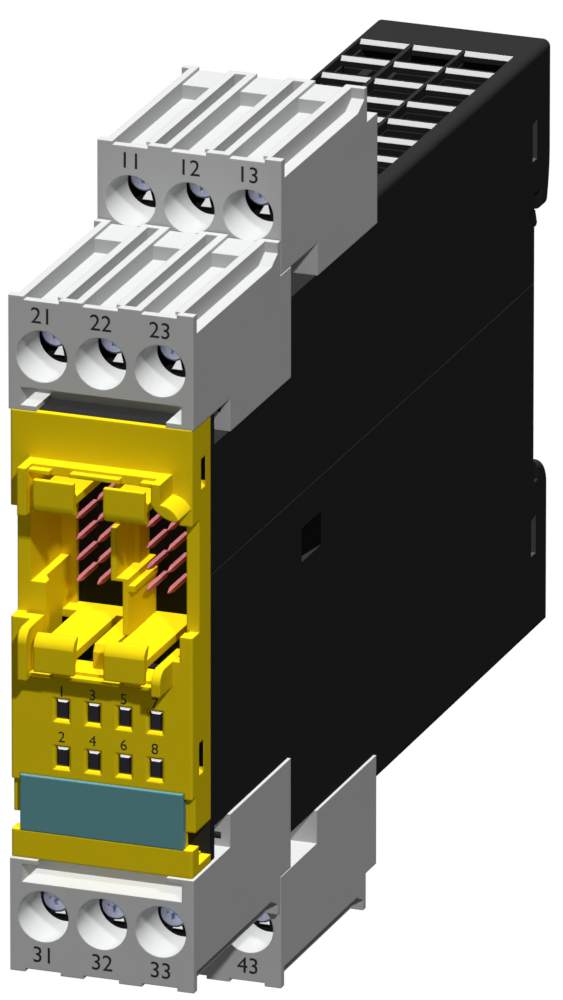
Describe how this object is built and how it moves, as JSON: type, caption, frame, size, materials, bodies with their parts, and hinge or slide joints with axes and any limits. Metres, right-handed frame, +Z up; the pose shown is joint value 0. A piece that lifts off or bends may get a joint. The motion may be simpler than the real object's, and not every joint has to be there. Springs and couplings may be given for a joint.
{
  "type": "safety expansion module",
  "caption": "Narrow rail-mounted safety input module: yellow front with bus socket and lamp windows, black stepped case, four grey plug-in terminal blocks.",
  "frame": {"origin": "middle of the wall that seats on the rail, halfway up the module", "axes": "+X to the right seen from the front, +Y backwards towards the rail's plate, +Z up"},
  "size_m": [0.0226, 0.1248, 0.101],
  "materials": {
    "black_plastic": "fine spark-eroded texture",
    "yellow_plastic": "fine spark-eroded texture",
    "grey_plastic": "fine spark-eroded texture",
    "teal_plastic": "smooth",
    "clear_plastic": "polished, smoky",
    "lamp_body": "smooth",
    "board": "lacquered glass-fibre board",
    "component_black": "moulded",
    "header_black": "moulded",
    "pin_copper": "drawn, rose coloured",
    "contact_brass": "stamped",
    "zinc_steel": "zinc plated, bluish",
    "spring_steel": "drawn wire",
    "latch_grey": "moulded"
  },
  "bodies": {
    "root": {"case_upper": "black_plastic", "case_lower": "black_plastic", "front_cap": "yellow_plastic", "label_plate": "teal_plastic", "light_guide_upper": "clear_plastic", "light_guide_lower": "clear_plastic", "indicator_lamps": "lamp_body", "front_board": "board", "main_board": "board", "board_parts": "component_black", "board_link": "component_black", "bus_header_left": "header_black", "bus_header_right": "header_black", "bus_pins_left": "pin_copper", "bus_pins_right": "pin_copper", "latch_spring": "spring_steel", "upper_front_tab_header": "header_black", "upper_front_tab_pins": "contact_brass", "upper_rear_tab_header": "header_black", "upper_rear_tab_pins": "contact_brass", "upper_rear_block": "grey_plastic", "upper_rear_contacts": "contact_brass", "lower_front_tab_header": "header_black", "lower_front_tab_pins": "contact_brass", "lower_rear_tab_header": "header_black", "lower_rear_tab_pins": "contact_brass", "lower_rear_block": "grey_plastic", "lower_rear_contacts": "contact_brass"},
    "rail_latch_slider": {"rail_latch": "latch_grey"},
    "upper_front_plug": {"upper_front_block": "grey_plastic", "upper_front_contacts": "contact_brass"},
    "upper_front_screw_1": {"upper_front_screw_1": "zinc_steel"},
    "upper_front_clamp_1": {"upper_front_clamp_1": "zinc_steel"},
    "upper_front_screw_2": {"upper_front_screw_2": "zinc_steel"},
    "upper_front_clamp_2": {"upper_front_clamp_2": "zinc_steel"},
    "upper_front_screw_3": {"upper_front_screw_3": "zinc_steel"},
    "upper_front_clamp_3": {"upper_front_clamp_3": "zinc_steel"},
    "upper_rear_screw_1": {"upper_rear_screw_1": "zinc_steel"},
    "upper_rear_clamp_1": {"upper_rear_clamp_1": "zinc_steel"},
    "upper_rear_screw_2": {"upper_rear_screw_2": "zinc_steel"},
    "upper_rear_clamp_2": {"upper_rear_clamp_2": "zinc_steel"},
    "upper_rear_screw_3": {"upper_rear_screw_3": "zinc_steel"},
    "upper_rear_clamp_3": {"upper_rear_clamp_3": "zinc_steel"},
    "lower_front_plug": {"lower_front_block": "grey_plastic", "lower_front_contacts": "contact_brass"},
    "lower_front_screw_1": {"lower_front_screw_1": "zinc_steel"},
    "lower_front_clamp_1": {"lower_front_clamp_1": "zinc_steel"},
    "lower_front_screw_2": {"lower_front_screw_2": "zinc_steel"},
    "lower_front_clamp_2": {"lower_front_clamp_2": "zinc_steel"},
    "lower_front_screw_3": {"lower_front_screw_3": "zinc_steel"},
    "lower_front_clamp_3": {"lower_front_clamp_3": "zinc_steel"},
    "lower_rear_screw_1": {"lower_rear_screw_1": "zinc_steel"},
    "lower_rear_clamp_1": {"lower_rear_clamp_1": "zinc_steel"},
    "lower_rear_screw_2": {"lower_rear_screw_2": "zinc_steel"},
    "lower_rear_clamp_2": {"lower_rear_clamp_2": "zinc_steel"},
    "lower_rear_screw_3": {"lower_rear_screw_3": "zinc_steel"},
    "lower_rear_clamp_3": {"lower_rear_clamp_3": "zinc_steel"}
  },
  "joints": [
    {"name": "rail_latch_slide", "type": "slide", "parent": "root", "child": "rail_latch_slider", "axis": [0, 0, -1], "range_m": [0, 0.0023], "stiffness_N_per_m": 900, "springref_m": -0.0015, "deforming": ["latch_spring"]},
    {"name": "upper_front_plug_slide", "type": "slide", "parent": "root", "child": "upper_front_plug", "axis": [0, -1, 0], "range_m": [0, 0.004]},
    {"name": "upper_front_clamp_1_slide", "type": "slide", "parent": "upper_front_plug", "child": "upper_front_clamp_1", "axis": [0, 1, 0], "range_m": [0, 0.0025]},
    {"name": "upper_front_screw_1_turn", "type": "hinge", "parent": "upper_front_plug", "child": "upper_front_screw_1", "pos_m": [-0.0084, -0.1054, 0.03444], "axis": [0, -1, 0], "range_deg": [0, 1802]},
    {"name": "upper_front_clamp_2_slide", "type": "slide", "parent": "upper_front_plug", "child": "upper_front_clamp_2", "axis": [0, 1, 0], "range_m": [0, 0.0025]},
    {"name": "upper_front_screw_2_turn", "type": "hinge", "parent": "upper_front_plug", "child": "upper_front_screw_2", "pos_m": [-0.0012, -0.1054, 0.03444], "axis": [0, -1, 0], "range_deg": [0, 1802]},
    {"name": "upper_front_clamp_3_slide", "type": "slide", "parent": "upper_front_plug", "child": "upper_front_clamp_3", "axis": [0, 1, 0], "range_m": [0, 0.0025]},
    {"name": "upper_front_screw_3_turn", "type": "hinge", "parent": "upper_front_plug", "child": "upper_front_screw_3", "pos_m": [0.006, -0.1054, 0.03444], "axis": [0, -1, 0], "range_deg": [0, 1802]},
    {"name": "upper_rear_clamp_1_slide", "type": "slide", "parent": "root", "child": "upper_rear_clamp_1", "axis": [0, 1, 0], "range_m": [0, 0.0025]},
    {"name": "upper_rear_screw_1_turn", "type": "hinge", "parent": "root", "child": "upper_rear_screw_1", "pos_m": [-0.0084, -0.07666, 0.04395], "axis": [0, -1, 0], "range_deg": [0, 1802]},
    {"name": "upper_rear_clamp_2_slide", "type": "slide", "parent": "root", "child": "upper_rear_clamp_2", "axis": [0, 1, 0], "range_m": [0, 0.0025]},
    {"name": "upper_rear_screw_2_turn", "type": "hinge", "parent": "root", "child": "upper_rear_screw_2", "pos_m": [-0.0012, -0.07666, 0.04395], "axis": [0, -1, 0], "range_deg": [0, 1802]},
    {"name": "upper_rear_clamp_3_slide", "type": "slide", "parent": "root", "child": "upper_rear_clamp_3", "axis": [0, 1, 0], "range_m": [0, 0.0025]},
    {"name": "upper_rear_screw_3_turn", "type": "hinge", "parent": "root", "child": "upper_rear_screw_3", "pos_m": [0.006, -0.07666, 0.04395], "axis": [0, -1, 0], "range_deg": [0, 1802]},
    {"name": "lower_front_plug_slide", "type": "slide", "parent": "root", "child": "lower_front_plug", "axis": [0, -1, 0], "range_m": [0, 0.004]},
    {"name": "lower_front_clamp_1_slide", "type": "slide", "parent": "lower_front_plug", "child": "lower_front_clamp_1", "axis": [0, 1, 0], "range_m": [0, 0.0025]},
    {"name": "lower_front_screw_1_turn", "type": "hinge", "parent": "lower_front_plug", "child": "lower_front_screw_1", "pos_m": [-0.0084, -0.1054, -0.03444], "axis": [0, -1, 0], "range_deg": [0, 1802]},
    {"name": "lower_front_clamp_2_slide", "type": "slide", "parent": "lower_front_plug", "child": "lower_front_clamp_2", "axis": [0, 1, 0], "range_m": [0, 0.0025]},
    {"name": "lower_front_screw_2_turn", "type": "hinge", "parent": "lower_front_plug", "child": "lower_front_screw_2", "pos_m": [-0.0012, -0.1054, -0.03444], "axis": [0, -1, 0], "range_deg": [0, 1802]},
    {"name": "lower_front_clamp_3_slide", "type": "slide", "parent": "lower_front_plug", "child": "lower_front_clamp_3", "axis": [0, 1, 0], "range_m": [0, 0.0025]},
    {"name": "lower_front_screw_3_turn", "type": "hinge", "parent": "lower_front_plug", "child": "lower_front_screw_3", "pos_m": [0.006, -0.1054, -0.03444], "axis": [0, -1, 0], "range_deg": [0, 1802]},
    {"name": "lower_rear_clamp_1_slide", "type": "slide", "parent": "root", "child": "lower_rear_clamp_1", "axis": [0, 1, 0], "range_m": [0, 0.0025]},
    {"name": "lower_rear_screw_1_turn", "type": "hinge", "parent": "root", "child": "lower_rear_screw_1", "pos_m": [-0.0084, -0.07666, -0.04395], "axis": [0, -1, 0], "range_deg": [0, 1802]},
    {"name": "lower_rear_clamp_2_slide", "type": "slide", "parent": "root", "child": "lower_rear_clamp_2", "axis": [0, 1, 0], "range_m": [0, 0.0025]},
    {"name": "lower_rear_screw_2_turn", "type": "hinge", "parent": "root", "child": "lower_rear_screw_2", "pos_m": [-0.0012, -0.07666, -0.04395], "axis": [0, -1, 0], "range_deg": [0, 1802]},
    {"name": "lower_rear_clamp_3_slide", "type": "slide", "parent": "root", "child": "lower_rear_clamp_3", "axis": [0, 1, 0], "range_m": [0, 0.0025]},
    {"name": "lower_rear_screw_3_turn", "type": "hinge", "parent": "root", "child": "lower_rear_screw_3", "pos_m": [0.006, -0.07666, -0.04395], "axis": [0, -1, 0], "range_deg": [0, 1802]}
  ],
  "couplings": [
    {"joint": "upper_front_screw_1_turn", "follows": "upper_front_clamp_1_slide", "rad_per_m": 12566},
    {"joint": "upper_front_screw_2_turn", "follows": "upper_front_clamp_2_slide", "rad_per_m": 12566},
    {"joint": "upper_front_screw_3_turn", "follows": "upper_front_clamp_3_slide", "rad_per_m": 12566},
    {"joint": "upper_rear_screw_1_turn", "follows": "upper_rear_clamp_1_slide", "rad_per_m": 12566},
    {"joint": "upper_rear_screw_2_turn", "follows": "upper_rear_clamp_2_slide", "rad_per_m": 12566},
    {"joint": "upper_rear_screw_3_turn", "follows": "upper_rear_clamp_3_slide", "rad_per_m": 12566},
    {"joint": "lower_front_screw_1_turn", "follows": "lower_front_clamp_1_slide", "rad_per_m": 12566},
    {"joint": "lower_front_screw_2_turn", "follows": "lower_front_clamp_2_slide", "rad_per_m": 12566},
    {"joint": "lower_front_screw_3_turn", "follows": "lower_front_clamp_3_slide", "rad_per_m": 12566},
    {"joint": "lower_rear_screw_1_turn", "follows": "lower_rear_clamp_1_slide", "rad_per_m": 12566},
    {"joint": "lower_rear_screw_2_turn", "follows": "lower_rear_clamp_2_slide", "rad_per_m": 12566},
    {"joint": "lower_rear_screw_3_turn", "follows": "lower_rear_clamp_3_slide", "rad_per_m": 12566}
  ]
}
